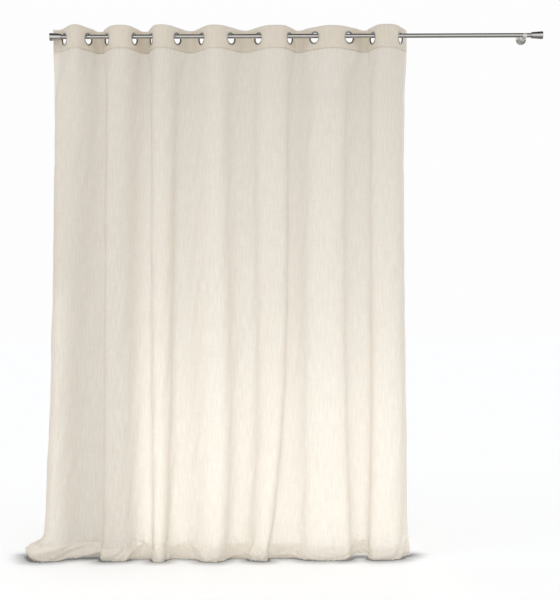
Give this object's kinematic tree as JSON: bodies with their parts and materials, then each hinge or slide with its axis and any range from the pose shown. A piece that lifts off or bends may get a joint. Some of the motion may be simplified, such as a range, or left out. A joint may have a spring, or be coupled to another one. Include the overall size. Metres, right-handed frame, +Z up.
{
  "type": "eyelet curtain on a curtain rod",
  "caption": "Sheer floor-length curtain on metal eyelets, drawn to one side of a straight rod with cone finials and open saddle brackets on round wall plates.",
  "frame": {"origin": "centre of the right wall plate's back face, on the wall", "axes": "+X along the rod to the right as seen from the room, +Y into the wall, +Z up"},
  "size_m": [2.3487, 0.1667, 2.3978],
  "materials": {
    "satin_steel": "satin, fine lengthways brushing",
    "eyelet_steel": "satin",
    "sheer_linen": "off-white linen look, semi-sheer, fine slubs"
  },
  "bodies": {
    "root": {"rod": "satin_steel", "finial_left": "satin_steel", "finial_right": "satin_steel", "wall_plate_left": "satin_steel", "wall_plate_right": "satin_steel", "bracket_arm_left": "satin_steel", "bracket_arm_right": "satin_steel", "eyelet_01": "eyelet_steel", "eyelet_02": "eyelet_steel", "eyelet_03": "eyelet_steel", "eyelet_04": "eyelet_steel", "eyelet_05": "eyelet_steel", "eyelet_06": "eyelet_steel", "eyelet_07": "eyelet_steel", "eyelet_08": "eyelet_steel", "eyelet_09": "eyelet_steel", "eyelet_10": "eyelet_steel", "eyelet_11": "eyelet_steel", "eyelet_12": "eyelet_steel", "eyelet_13": "eyelet_steel", "eyelet_14": "eyelet_steel", "heading": "sheer_linen", "panel": "sheer_linen"}
  },
  "joints": []
}
